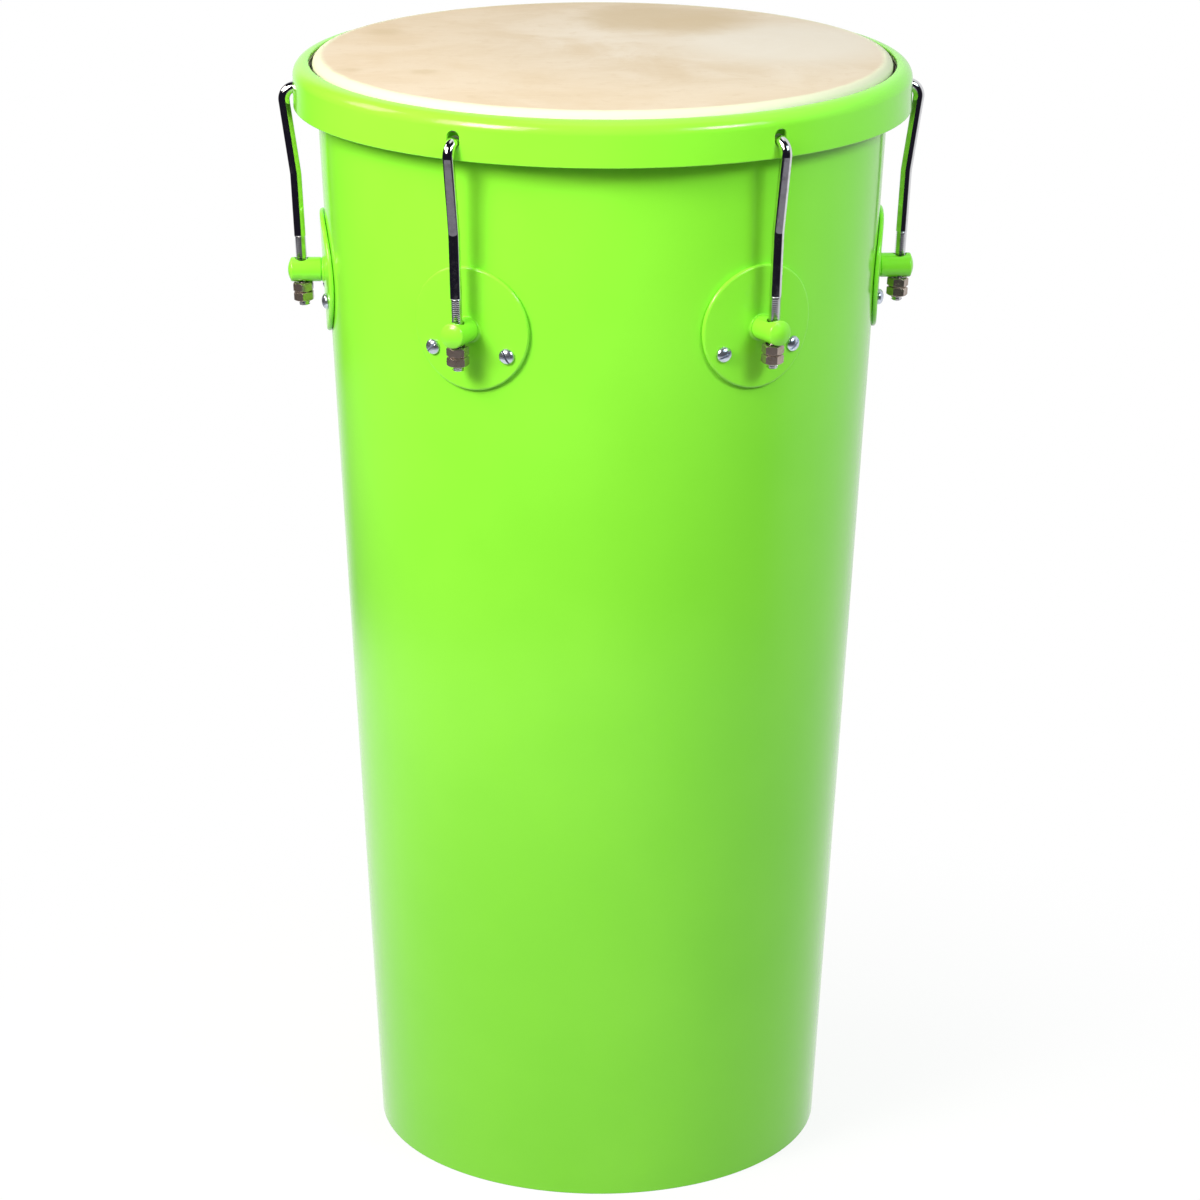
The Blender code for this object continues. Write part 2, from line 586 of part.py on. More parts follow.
for index in range(STATION_COUNT):
    number = index + 1
    station = add_empty(f"station_{number}", place=station_turn(index))
    add(f"lug_plate_{number}", PLATE_SHAPE, LIME_PAINT, station)
    add(f"tension_post_{number}", POST_SHAPE, LIME_PAINT, station, POST_FRAME)
    rod_axis = add_empty(f"rod_axis_{number}", station, ROD_FRAME)
    add(f"hook_rod_{number}", ROD_SHAPE, CHROME, rod_axis)
    add(f"tuning_nut_{number}", ROD_NUT_SHAPE, DARK_NICKEL, rod_axis, tuning_nut_place)
    add(f"lock_nut_{number}", ROD_NUT_SHAPE, DARK_NICKEL, rod_axis, lock_nut_place)
    for side, side_name in ((1, "right"), (-1, "left")):
        slot_turn = math.radians(SCREW_SLOT_TURNS[index % len(SCREW_SLOT_TURNS)] * side)
        seat = screw_frame(side) @ screw_place @ Matrix.Rotation(slot_turn, 4, 'Z')
        add(f"plate_screw_{side_name}_{number}", SCREW_SHAPE, ZINC, station, seat)
        add(f"screw_nut_{side_name}_{number}", SCREW_NUT_SHAPE, ZINC, station,
            screw_frame(side) @ screw_nut_place)
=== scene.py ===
# %% [markdown]
# # A rebolo drum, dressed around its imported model
# A rebolo is a tall hand drum: a tapered steel shell, one skin head, and a ring of hooked
# rods that pull the head tight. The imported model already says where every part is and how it
# moves. This notebook models finer parts in the same places and gives them their finishes.

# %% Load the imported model
import math

import bmesh
import bpy
from mathutils import Matrix, Vector


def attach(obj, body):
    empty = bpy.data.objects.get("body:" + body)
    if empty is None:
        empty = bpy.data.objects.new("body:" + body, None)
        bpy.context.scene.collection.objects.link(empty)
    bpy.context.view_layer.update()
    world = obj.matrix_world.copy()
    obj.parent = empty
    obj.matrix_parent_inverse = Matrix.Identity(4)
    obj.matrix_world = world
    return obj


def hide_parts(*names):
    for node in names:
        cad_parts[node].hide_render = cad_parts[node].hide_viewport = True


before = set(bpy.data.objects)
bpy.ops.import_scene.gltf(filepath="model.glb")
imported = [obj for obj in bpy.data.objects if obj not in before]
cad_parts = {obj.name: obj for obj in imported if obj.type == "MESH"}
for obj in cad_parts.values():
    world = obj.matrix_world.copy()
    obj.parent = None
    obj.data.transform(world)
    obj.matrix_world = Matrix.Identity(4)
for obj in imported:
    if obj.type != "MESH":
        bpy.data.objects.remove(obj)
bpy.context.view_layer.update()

QUARTER = math.pi / 2

# %% [markdown]
# ## The camera
# A long lens from a little over two metres away keeps the tall shell's sides nearly straight.
# The camera stands just above the head and looks down, so the skin shows as a flat oval.
# Its place came from the outlines of shell, foot and hoop, so the rest only has to be built
# to size. A matrix product reads from right to left: roll, tilt, step back, walk round.

# %% Place the camera
CAMERA_DISTANCE = 2.20348
CAMERA_HEIGHT = 1.02627
CAMERA_AZIMUTH = math.radians(-3)
CAMERA_TILT = 0.3191
CAMERA_ROLL = 0.005
LENS_MM = 127.5

lens = bpy.data.cameras.new("portrait_lens")
lens.lens = LENS_MM
lens.clip_end = 50
camera = bpy.data.objects.new("camera", lens)
bpy.context.scene.collection.objects.link(camera)
camera.matrix_world = (Matrix.Rotation(CAMERA_AZIMUTH, 4, "Z")
                       @ Matrix.Translation((0, -CAMERA_DISTANCE, CAMERA_HEIGHT))
                       @ Matrix.Rotation(QUARTER - CAMERA_TILT, 4, "X")
                       @ Matrix.Rotation(CAMERA_ROLL, 4, "Z"))
bpy.context.scene.camera = camera
print("camera at", [round(x, 3) for x in camera.location])

# %% [markdown]
# ## A short way to write shader maths
# A material's pattern is arithmetic on textures. Wrapping a socket in a small class lets that
# arithmetic be written as Python: `1 - mask` adds a Math node. Every other node comes from one
# method, which takes the kind of node, its settings, and the values or links of its sockets.

# %% Wrap sockets and materials
class Value:
    """A node's output that can stand in an expression."""

    def __init__(self, finish, socket):
        self.finish = finish
        self.socket = socket

    def maths(self, operation, first, second):
        return self.finish.node("Math", {"operation": operation}, {0: first, 1: second})

    def __add__(self, other):
        return self.maths("ADD", self, other)

    def __sub__(self, other):
        return self.maths("SUBTRACT", self, other)

    def __rsub__(self, other):
        return self.maths("SUBTRACT", other, self)

    def __mul__(self, other):
        return self.maths("MULTIPLY", self, other)

    __radd__ = __add__
    __rmul__ = __mul__


class Finish:
    """A procedural material on a Principled shader."""

    def __init__(self, name, **constants):
        self.material = bpy.data.materials.new(name)
        self.material.use_nodes = True
        self.tree = self.material.node_tree
        self.shader = self.tree.nodes["Principled BSDF"]
        for socket, value in constants.items():
            self.shader.inputs[socket.replace("_", " ")].default_value = value
        self.place = self.node("TexCoord", output="Object")

    def node(self, kind, settings=None, inputs=None, output=0):
        made = self.tree.nodes.new("ShaderNode" + kind)
        for key, value in (settings or {}).items():
            setattr(made, key, value)
        for key, value in (inputs or {}).items():
            self.feed(made.inputs[key], value)
        return Value(self, made.outputs[output])

    def feed(self, socket, value):
        if isinstance(value, Value):
            self.tree.links.new(value.socket, socket)
        else:
            socket.default_value = value

    def noise(self, scale, detail=2.0, place=None, **more):
        inputs = {"Vector": place or self.place, "Scale": scale, "Detail": detail, **more}
        return self.node("TexNoise", inputs=inputs)

    def ramp(self, value, low, high):
        """Smooth step from 0 at low to 1 at high."""
        return self.node("MapRange", {"interpolation_type": "SMOOTHSTEP"},
                         {"Value": value, "From Min": low, "From Max": high})

    def blend(self, mask, first, second):
        """Colour that goes from the first to the second as the mask goes from 0 to 1."""
        return self.node("Mix", {"data_type": "RGBA"}, {0: mask, 6: first, 7: second}, output=2)

    def bump(self, height, depth, strength=1.0):
        """Relief of a given depth in metres."""
        return self.node("Bump", inputs={"Height": height, "Distance": depth, "Strength": strength})

    def wear(self, **sockets):
        """Feed the shader's sockets that change over the surface."""
        for socket, value in sockets.items():
            self.feed(self.shader.inputs[socket.replace("_", " ")], value)


print("shader maths ready")

# %% [markdown]
# ## Lime green paint
# The shell, hoop, posts and plates are sprayed and baked with one glossy lime green. Sprayed
# paint is never dead flat: it keeps a fine orange peel, its thickness wanders a little, and
# handling leaves faint dull patches in the gloss. A clear coat carries the sharp highlights.

# %% Mix the paint
paint = Finish("lime_paint_fine", Coat_Weight=0.15, Coat_Roughness=0.05, Specular_IOR_Level=0.34)
thickness = paint.noise(7, 3)
handling = paint.noise(46, 5, Roughness=0.65)
peel = paint.noise(420, 2)
paint.wear(
    Base_Color=paint.blend(paint.ramp(thickness, 0.3, 0.7), (0.250, 0.825, 0.036, 1), (0.278, 0.868, 0.044, 1)),
    Roughness=0.15 + 0.07 * paint.ramp(handling, 0.45, 0.75),
    Normal=paint.bump(peel, 0.00004, 0.5),
)
print("paint:", len(paint.tree.nodes), "nodes")

# %% [markdown]
# ## Natural hide
# The head is a dried skin. It is cream to beige with cloudy mottling, a browner patch where the
# hide was thicker, and fine pores. A whiter, cooler patch on the right is a painted sheen: it
# stands for the open bright side of the room that the skin reflects there. Over the bearing edge
# the skin is stretched thin, so a paler band runs around the rim; the band's green tint and part
# of its brightness are a painted reflection of the green hoop. The mottling, patches and pores
# are masks from noise and from the distance to a point, and the band follows the distance from
# the drum's axis.

# %% Tan the skin
# The pale band is partly thin hide and partly a painted reflection of the green hoop.
PALE_BAND_INNER = 0.1450
PALE_BAND_OUTER = 0.1485
CROWN_CENTRE = (0.062, 0.034, 0.6)
CROWN_FROM, CROWN_TO = 0.07, 0.17
# Painted sheen: centre and reach of a whiter, cooler patch on the right of the skin.
SHEEN_CENTRE = (0.098, 0.026, 0.6)
SHEEN_REACH = 0.080
STAIN_CENTRE = (0.035, 0.100, 0.6)
STAIN_REACH = 0.062
SPOTS = (((-0.114, 0.062, 0.6), 0.014), ((-0.132, -0.042, 0.6), 0.009), ((-0.094, -0.048, 0.6), 0.010))

hide = Finish("natural_hide_fine", Specular_IOR_Level=0.35)
flat_place = hide.node("VectorMath", {"operation": "MULTIPLY"}, {0: hide.place, 1: (1, 1, 0)})
axis_distance = hide.node("VectorMath", {"operation": "LENGTH"}, {0: flat_place}, output="Value")
clouds = hide.noise(16, 6, Roughness=0.62, Distortion=0.6)
flecks = hide.noise(95, 5, Roughness=0.7)
pores = hide.noise(1500, 2)
fibres = hide.noise(60, 4, hide.node("Mapping", inputs={0: hide.place, "Scale": (1, 9, 1)}))


def away_from(centre):
    """Distance over the skin from a centre."""
    return hide.node("VectorMath", {"operation": "DISTANCE"}, {0: hide.place, 1: centre}, output="Value")


tan = hide.ramp(away_from(CROWN_CENTRE) + 0.1 * (clouds - 0.5), CROWN_FROM, CROWN_TO)
# Mask of the painted sheen on the right of the skin.
right_sheen = 1 - hide.ramp(away_from(SHEEN_CENTRE) + 0.06 * (clouds - 0.5), 0.3 * SHEEN_REACH, SHEEN_REACH)
stain = 1 - hide.ramp(away_from(STAIN_CENTRE) + 0.06 * (clouds - 0.5), 0.4 * STAIN_REACH, STAIN_REACH)
# Mask of the pale band, which also carries the hoop's painted green reflection.
pale_band_and_hoop_reflection = hide.ramp(axis_distance + 0.004 * (flecks - 0.5), PALE_BAND_INNER, PALE_BAND_OUTER)
skin = hide.blend(hide.ramp(clouds, 0.32, 0.68), (0.57, 0.465, 0.32, 1), (0.66, 0.595, 0.49, 1))
skin = hide.blend(0.5 * tan, skin, (0.60, 0.47, 0.295, 1))
skin = hide.blend(0.5 * hide.ramp(flecks, 0.52, 0.75), skin, (0.53, 0.41, 0.26, 1))
skin = hide.blend(0.3 * hide.ramp(fibres, 0.5, 0.8), skin, (0.71, 0.64, 0.51, 1))
# Paint the sheen in as a whiter, cooler grey over the skin.
skin = hide.blend(0.6 * right_sheen, skin, (0.70, 0.68, 0.61, 1))
skin = hide.blend(0.8 * stain, skin, (0.51, 0.40, 0.24, 1))
for centre, reach in SPOTS:
    spot = 1 - hide.ramp(away_from(centre) + 0.012 * (flecks - 0.5), 0.2 * reach, reach)
    skin = hide.blend(0.4 * spot, skin, (0.47, 0.36, 0.19, 1))
# The band's greenish cream is thin hide plus a painted reflection of the green hoop.
skin = hide.blend(pale_band_and_hoop_reflection, skin, (0.67, 0.69, 0.49, 1))
hide.wear(
    Base_Color=skin,
    Roughness=0.5 + 0.16 * clouds,
    Normal=hide.bump(pores + 0.8 * flecks, 0.00007, 0.6),
)
print("hide:", len(hide.tree.nodes), "nodes")

# %% [markdown]
# ## Plated metals
# The rods are bright chrome, the nuts a darker nickel that looks brown-grey, and the screws a
# bluish zinc. All three are plate over steel. The same small recipe serves them: a colour that
# wanders, a roughness that rises in dull spots, and hair-fine polishing marks. Nickel and zinc
# grow a thin dull film that hides part of the mirror, so they are made a little less metallic.

# %% Plate the metals
def plated(name, bright, dull, smooth, rough, mark_scale, metallic=1.0):
    """Metal plate that wanders between two colours and two roughnesses."""
    metal = Finish(name, Metallic=metallic)
    patches = metal.noise(240, 4, Roughness=0.6)
    marks = metal.noise(mark_scale, 3, metal.node("Mapping", inputs={0: metal.place, "Scale": (1, 1, 0.15)}))
    spots = metal.ramp(patches, 0.42, 0.72)
    metal.wear(
        Base_Color=metal.blend(spots, bright, dull),
        Roughness=smooth + (rough - smooth) * spots,
        Normal=metal.bump(marks, 0.00001, 0.4),
    )
    print(name, len(metal.tree.nodes), "nodes")
    return metal


chrome = plated("chrome_fine", (0.78, 0.78, 0.80, 1), (0.66, 0.65, 0.66, 1), 0.05, 0.14, 1800)
nickel = plated("dark_nickel_fine", (0.47, 0.39, 0.33, 1), (0.34, 0.27, 0.22, 1), 0.16, 0.30, 1500, 0.88)
zinc = plated("zinc_fine", (0.64, 0.69, 0.80, 1), (0.52, 0.56, 0.66, 1), 0.20, 0.34, 1500, 0.92)
wire = plated("wire_steel_fine", (0.45, 0.43, 0.41, 1), (0.32, 0.29, 0.27, 1), 0.34, 0.5, 900)

# %% [markdown]
# ## Drawing and turning
# Most parts of a drum are round, so a section drawn once and spun about an axis makes them.
# The drawing starts as a plane merged into one point, which is then extruded from corner to
# corner. A section that touches the axis closes on it, and any other is drawn back to its start.

# %% Helpers to draw and turn
def one_point(name, place):
    """New piece of a single vertex, left in edit mode."""
    bpy.ops.object.select_all(action="DESELECT")
    bpy.ops.mesh.primitive_plane_add(size=0.01)
    piece = bpy.context.object
    piece.name = piece.data.name = name
    bpy.ops.object.mode_set(mode="EDIT")
    bpy.ops.mesh.merge(type="CENTER")
    bpy.ops.transform.translate(value=place)
    return piece


def draw_on(points):
    """Extrude the selected vertex from point to point."""
    for before, after in zip(points, points[1:]):
        step = Vector(after) - Vector(before)
        bpy.ops.mesh.extrude_vertices_move(TRANSFORM_OT_translate={"value": step})


def closed_up():
    """Merge what meets, point the faces outwards and leave edit mode."""
    bpy.ops.mesh.select_all(action="SELECT")
    bpy.ops.mesh.remove_doubles(threshold=1e-6)
    bpy.ops.mesh.normals_make_consistent(inside=False)
    bpy.ops.object.mode_set(mode="OBJECT")


def arc(centre, radius, start, turn, steps):
    """Points along an arc in a section, as radius and height."""
    angles = [start + turn * step / steps for step in range(steps + 1)]
    return [(centre[0] + radius * math.cos(a), centre[1] + radius * math.sin(a)) for a in angles]


def turned(name, section, steps):
    """Round piece from a section of (radius, height) pairs."""
    points = [(radius, 0, height) for radius, height in section]
    if section[0][0] > 0:
        points.append(points[0])
    piece = one_point(name, points[0])
    draw_on(points)
    bpy.ops.mesh.select_all(action="SELECT")
    bpy.ops.mesh.spin(steps=steps, angle=math.tau, center=(0, 0, 0), axis=(0, 0, 1))
    closed_up()
    return piece


print("drawing helpers ready")

# %% [markdown]
# ## Cutting, softening and handing over
# Holes and slots are cut with a Boolean and a tool shaped like the real punch or drill. A cut
# leaves slivers where an edge of the tool lies on an edge of the piece, so one of two round
# shapes is turned by half a facet. Real edges are never knife sharp, so a narrow bevel catches
# the light. A finished piece keeps its place in its mesh, gets its finish, and rides on a body.

# %% Helpers to finish a piece
def only(piece):
    """Make a piece the one that operators act on."""
    bpy.ops.object.select_all(action="DESELECT")
    piece.select_set(True)
    bpy.context.view_layer.objects.active = piece


def combined(piece, tool, operation):
    """Cut, keep or unite a piece with a tool, which is used up."""
    only(piece)
    cut = piece.modifiers.new("cut", "BOOLEAN")
    cut.operation, cut.solver, cut.object = operation, "EXACT", tool
    bpy.ops.object.modifier_apply(modifier="cut")
    bpy.data.objects.remove(tool, do_unlink=True)
    return piece


def softened(piece, width, angle=40, segments=2):
    """Bevel the edges that are sharper than an angle in degrees."""
    only(piece)
    bevel = piece.modifiers.new("soft_edge", "BEVEL")
    bevel.width, bevel.segments, bevel.limit_method = width, segments, "ANGLE"
    bevel.angle_limit = math.radians(angle)
    bevel.use_clamp_overlap = True
    bpy.ops.object.modifier_apply(modifier="soft_edge")
    return piece


def shaded(piece, angle=35):
    """Shade smooth below an angle in degrees, led by the large faces so that they stay true."""
    only(piece)
    bpy.ops.object.shade_smooth_by_angle(angle=math.radians(angle))
    weigh = piece.modifiers.new("weigh", "WEIGHTED_NORMAL")
    weigh.keep_sharp = True
    bpy.ops.object.modifier_apply(modifier="weigh")
    return piece


def moved(piece, place):
    """Carry a piece's mesh to its place and leave the object at the origin."""
    piece.data.transform(place)
    return piece


def half_facet(piece, steps):
    """Turn a round piece about Z so that its edges keep clear of a tool's edges."""
    return moved(piece, Matrix.Rotation(math.pi / steps, 4, "Z"))


def copy_of(piece, name, place):
    """Copy with a mesh of its own, carried to its place."""
    twin = bpy.data.objects.new(name, piece.data.copy())
    bpy.context.scene.collection.objects.link(twin)
    return moved(twin, place)


def hand_over(piece, finish, body, slot, *nodes):
    """Give a piece its finish and body, and hide the imported nodes that it stands for; slot is not used."""
    piece.data.materials.clear()
    piece.data.materials.append(finish.material)
    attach(piece, body)
    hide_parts(*nodes)


def tell(piece):
    """Say what a piece came to."""
    size = " x ".join(f"{1000 * side:.1f}" for side in piece.dimensions)
    print(f"{piece.name}: {len(piece.data.polygons)} faces, {size} mm")


print("finishing helpers ready")

# %% [markdown]
# ## The shell
# The shell is one sheet of steel rolled into a cone and welded. Its foot is a plain cut edge
# with the burr taken off, and its top is rolled inward so that the skin bears on a round.
# A cone could start from Blender's own, but a spun section carries foot and roll as well.

# %% Turn the shell
FOOT_RADIUS = 0.1215
CROWN_RADIUS = 0.15094
DRUM_TOP = 0.600
SHEET = 0.0012
SKIN = 0.0010
GAP = 0.0003
ROLL_RADIUS = 0.0035
ROLL_TURN = math.radians(250)
FOOT_ROUNDING = 0.0004
SLOPE = (CROWN_RADIUS - FOOT_RADIUS) / DRUM_TOP
LEAN = math.atan(SLOPE)
ROLL_HEIGHT = DRUM_TOP - SKIN - GAP - ROLL_RADIUS
RING_STEPS = 240


def wall_radius(height):
    """Radius of the shell's outer face."""
    return FOOT_RADIUS + SLOPE * height


ROLL_CENTRE = (wall_radius(ROLL_HEIGHT) - ROLL_RADIUS / math.cos(LEAN), ROLL_HEIGHT)
foot_inside = FOOT_RADIUS - SHEET / math.cos(LEAN)
shell_section = arc((foot_inside + FOOT_ROUNDING, FOOT_ROUNDING), FOOT_ROUNDING, math.pi, QUARTER, 3)
shell_section += arc((FOOT_RADIUS - FOOT_ROUNDING, FOOT_ROUNDING), FOOT_ROUNDING, -QUARTER, QUARTER, 3)
shell_section += [(wall_radius(height), height) for height in (0.15, 0.3, 0.45)]
shell_section += arc(ROLL_CENTRE, ROLL_RADIUS, -LEAN, ROLL_TURN + LEAN, 20)
shell_section += arc(ROLL_CENTRE, ROLL_RADIUS - SHEET, ROLL_TURN, -ROLL_TURN - LEAN, 14)
shell = shaded(turned("shell_rolled", shell_section, RING_STEPS))
hand_over(shell, paint, "drum", "lime_paint", "shell")
tell(shell)

# %% [markdown]
# ## The head
# The skin is soaked, lapped around a wire hoop and dried. It lies flat, turns over the bearing
# edge in a small shoulder, drops a few millimetres and wraps nearly all the way round the wire.
# One section holds the whole path. The wire itself is hidden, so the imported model's ring stays.

# %% Turn the skin over its wire
WIRE_RADIUS = 0.0025
LAP_INSIDE = WIRE_RADIUS + 0.0005
LAP_OUTSIDE = LAP_INSIDE + SKIN
LAP_TURN = math.radians(285)
HOOP_TOP = DRUM_TOP - 0.0030
HOOP_SHEET = 0.0020
COLLAR_RADIUS = ROLL_CENTRE[0] + ROLL_RADIUS + GAP + SKIN
WIRE_CENTRE = (COLLAR_RADIUS + LAP_INSIDE, HOOP_TOP - HOOP_SHEET - GAP - LAP_OUTSIDE)
LAP_END = math.pi + LAP_TURN

skin_section = [(radius, DRUM_TOP) for radius in (0, 0.05, 0.1)]
skin_section += arc(ROLL_CENTRE, ROLL_RADIUS + GAP + SKIN, QUARTER, -QUARTER, 12)
skin_section += arc(WIRE_CENTRE, LAP_INSIDE, math.pi, LAP_TURN, 24)
skin_section += arc(WIRE_CENTRE, LAP_OUTSIDE, LAP_END, -LAP_TURN, 24)
skin_section += arc(ROLL_CENTRE, ROLL_RADIUS + GAP, 0, QUARTER, 10)
skin_section += [(radius, DRUM_TOP - SKIN) for radius in (0.1, 0)]
head = shaded(turned("skin_lapped", skin_section, RING_STEPS))
hand_over(head, hide, "drum", "natural_hide", "drumhead")
tell(head)

wire_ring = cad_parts["flesh_hoop"]
wire_ring.data.materials.clear()
wire_ring.data.materials.append(wire.material)

# %% [markdown]
# ## The counterhoop
# A ring pressed from 2 mm steel sits on the lapped wire: a narrow flange, a generous rounded
# corner that is kind to the hands, and a skirt. Six upright slots are punched through the skirt.
# The punch is a cylinder whose upper half is pulled up, which is how a slot is drawn.

# %% Turn the hoop and punch its slots
HOOP_DEPTH = 0.0230
HOOP_CORNER = 0.0070
HOOP_EDGE = 0.0006
HOOP_INSIDE = WIRE_CENTRE[0] + LAP_OUTSIDE + 0.0013
HOOP_OUTSIDE = HOOP_INSIDE + HOOP_SHEET
FLANGE_EDGE = COLLAR_RADIUS + 0.0020
SLOT_WIDTH = 0.0072
SLOT_HEIGHT = 0.0095
SLOT_BOTTOM = HOOP_TOP - HOOP_DEPTH + 0.0055
STATIONS = 6

corner = min(HOOP_CORNER, HOOP_OUTSIDE - FLANGE_EDGE - HOOP_EDGE)
corner_centre = (HOOP_OUTSIDE - corner, HOOP_TOP - corner)
edge_height = HOOP_TOP - HOOP_DEPTH + HOOP_EDGE
hoop_section = arc((FLANGE_EDGE + HOOP_EDGE, HOOP_TOP - HOOP_EDGE), HOOP_EDGE, math.pi, -QUARTER, 4)
hoop_section += arc(corner_centre, corner, QUARTER, -QUARTER, 16)
hoop_section += arc((HOOP_OUTSIDE - HOOP_EDGE, edge_height), HOOP_EDGE, 0, -QUARTER, 4)
hoop_section += arc((HOOP_INSIDE + HOOP_EDGE, edge_height), HOOP_EDGE, -QUARTER, -QUARTER, 4)
hoop_section += arc(corner_centre, corner - HOOP_SHEET, 0, QUARTER, 12)
hoop_section += [(FLANGE_EDGE + HOOP_EDGE, HOOP_TOP - HOOP_SHEET), (FLANGE_EDGE, HOOP_TOP - HOOP_SHEET + HOOP_EDGE)]
hoop = half_facet(turned("hoop_pressed", hoop_section, RING_STEPS), RING_STEPS)


def station(index):
    """Turn that carries the first station to another."""
    return Matrix.Rotation(math.tau * index / STATIONS, 4, "Z")


def slot_punch(index):
    """Upright bar with round ends, where a station's slot goes."""
    bpy.ops.object.select_all(action="DESELECT")
    bpy.ops.mesh.primitive_cylinder_add(vertices=32, radius=SLOT_WIDTH / 2, depth=4 * HOOP_SHEET,
                                        rotation=(0, QUARTER, 0))
    punch = bpy.context.object
    bpy.ops.object.transform_apply(location=True, rotation=True, scale=True)
    bpy.ops.object.mode_set(mode="EDIT")
    drawn = bmesh.from_edit_mesh(punch.data)
    for vertex in drawn.verts:
        vertex.select_set(vertex.co.z > 1e-5)
    drawn.select_flush_mode()
    bmesh.update_edit_mesh(punch.data)
    bpy.ops.transform.translate(value=(0, 0, SLOT_HEIGHT - SLOT_WIDTH))
    bpy.ops.object.mode_set(mode="OBJECT")
    middle = Matrix.Translation((HOOP_OUTSIDE - HOOP_SHEET, 0, SLOT_BOTTOM + SLOT_WIDTH / 2))
    return moved(punch, station(index) @ middle)


for index in range(STATIONS):
    combined(hoop, slot_punch(index), "DIFFERENCE")
shaded(softened(hoop, 0.0004, 60))
hand_over(hoop, paint, "counterhoop", "lime_paint", "counterhoop")
tell(hoop)

# %% [markdown]
# ## Screw threads
# A thread is a notched outline wound up a helix. The Screw modifier winds a drawn section one
# pitch per turn, and two bisects trim it level and cap it. Threads that only hide inside a nut
# could be left off, but these show above and below, where their crests sparkle.

# %% A helper that cuts a thread
def threaded_bar(name, radius, pitch, low, high, steps=28):
    """Right-hand thread about Z from a low to a high end, with a chamfer at the low end."""
    root = radius - 0.61 * pitch
    section = [(root, 0), (root, 0.25), (radius, 0.56), (radius, 0.69), (root, 1)]
    points = [(r, 0, low - 1.5 * pitch + share * pitch) for r, share in section]
    bar = one_point(name, points[0])
    draw_on(points)
    bpy.ops.object.mode_set(mode="OBJECT")
    wind = bar.modifiers.new("wind", "SCREW")
    wind.angle, wind.screw_offset = math.tau, pitch
    wind.iterations = math.ceil((high - low) / pitch) + 3
    wind.steps = wind.render_steps = steps
    bpy.ops.object.modifier_apply(modifier="wind")
    bpy.ops.object.mode_set(mode="EDIT")
    bpy.ops.mesh.select_all(action="SELECT")
    bpy.ops.mesh.remove_doubles(threshold=0.01 * pitch)
    for height, side in ((low, "clear_inner"), (high, "clear_outer")):
        bpy.ops.mesh.select_all(action="SELECT")
        bpy.ops.mesh.bisect(plane_co=(0, 0, height), plane_no=(0, 0, 1), threshold=1e-7,
                            use_fill=True, **{side: True})
    closed_up()
    blank = [(0, low - pitch), (root - 1.1 * pitch, low - pitch), (root - 0.3 * pitch, low),
             (2 * radius, low + 2 * pitch), (2 * radius, high + pitch), (0, high + pitch)]
    return combined(bar, turned("blank", blank, 48), "INTERSECT")


print("thread helper ready")

# %% [markdown]
# ## Hooked rods
# A rod is one straight bar that is bent twice: outwards at a knee, so that it clears the hoop's
# skirt, and over at the top, so that it hooks into a slot. Bending is what Spin does with a
# selected end face: it sweeps the face around a centre, and the bar stays round in the bend.
# Its lower end is threaded, chromed with the rest, and united with the plain shank.

# %% Frames on a station
POST_HEIGHT = DRUM_TOP - 0.1150
ROD_RADIUS = 0.0030
ROD_STANDOFF = 0.0137
POST_FRAME = Matrix.Translation((wall_radius(POST_HEIGHT), 0, POST_HEIGHT)) @ Matrix.Rotation(QUARTER, 4, "Y")
ROD_FRAME = (Matrix.Translation((wall_radius(POST_HEIGHT) + ROD_STANDOFF, 0, POST_HEIGHT))
             @ Matrix.Rotation(LEAN, 4, "Y"))
print("rod axis leans", round(math.degrees(LEAN), 2), "degrees")

# %% Bend the rod and thread its lower end
THREAD_PITCH = 0.0010
THREAD_TOP = 0.0185
POST_RADIUS = 0.0065
NUT_HEIGHT = 0.0050
ROD_TIP = -(POST_RADIUS + 2 * NUT_HEIGHT + 0.0028)
KNEE_RADIUS = 0.0180
HOOK_RADIUS = 0.0065
HOOK_CORNER = 0.0057
HOOK_REACH = 0.0010
HOOK_LEVEL = SLOT_BOTTOM + ROD_RADIUS + 0.0007


def bent_on(corners, radii, steps):
    """Extrude the selected face along a line of corners, spinning it around each bend."""
    here = corners[0]
    for before, corner, after, radius, count in zip(corners, corners[1:], corners[2:], radii, steps):
        into, out = (corner - before).normalized(), (after - corner).normalized()
        turn = into.angle(out)
        set_back = radius * math.tan(turn / 2)
        bend_centre = corner + (out - into).normalized() * radius / math.cos(turn / 2)
        reach = corner - into * set_back - here
        bpy.ops.mesh.extrude_region_move(TRANSFORM_OT_translate={"value": reach})
        bpy.ops.mesh.spin(steps=count, angle=-turn, center=bend_centre, axis=into.cross(out).normalized())
        here = corner + out * set_back
    bpy.ops.mesh.extrude_region_move(TRANSFORM_OT_translate={"value": corners[-1] - here})


shank_foot = ROD_FRAME @ Vector((0, 0, THREAD_TOP - THREAD_PITCH / 2))
knee = ROD_FRAME @ Vector((0, 0, (DRUM_TOP - 0.0633 - POST_HEIGHT) / math.cos(LEAN)))
hook_corner = Vector((HOOP_OUTSIDE + HOOK_CORNER, 0, HOOK_LEVEL))
hook_end = Vector((HOOP_INSIDE - HOOK_REACH, 0, HOOK_LEVEL))
bpy.ops.object.select_all(action="DESELECT")
bpy.ops.mesh.primitive_circle_add(vertices=40, radius=ROD_RADIUS, fill_type="NGON")
rod = bpy.context.object
rod.name = rod.data.name = "rod"
moved(rod, ROD_FRAME @ Matrix.Translation((0, 0, THREAD_TOP - THREAD_PITCH / 2)))
bpy.ops.object.mode_set(mode="EDIT")
bpy.ops.mesh.select_all(action="SELECT")
bent_on([shank_foot, knee, hook_corner, hook_end], (KNEE_RADIUS, HOOK_RADIUS), (8, 20))
closed_up()
softened(rod, 0.0007, 60, 3)
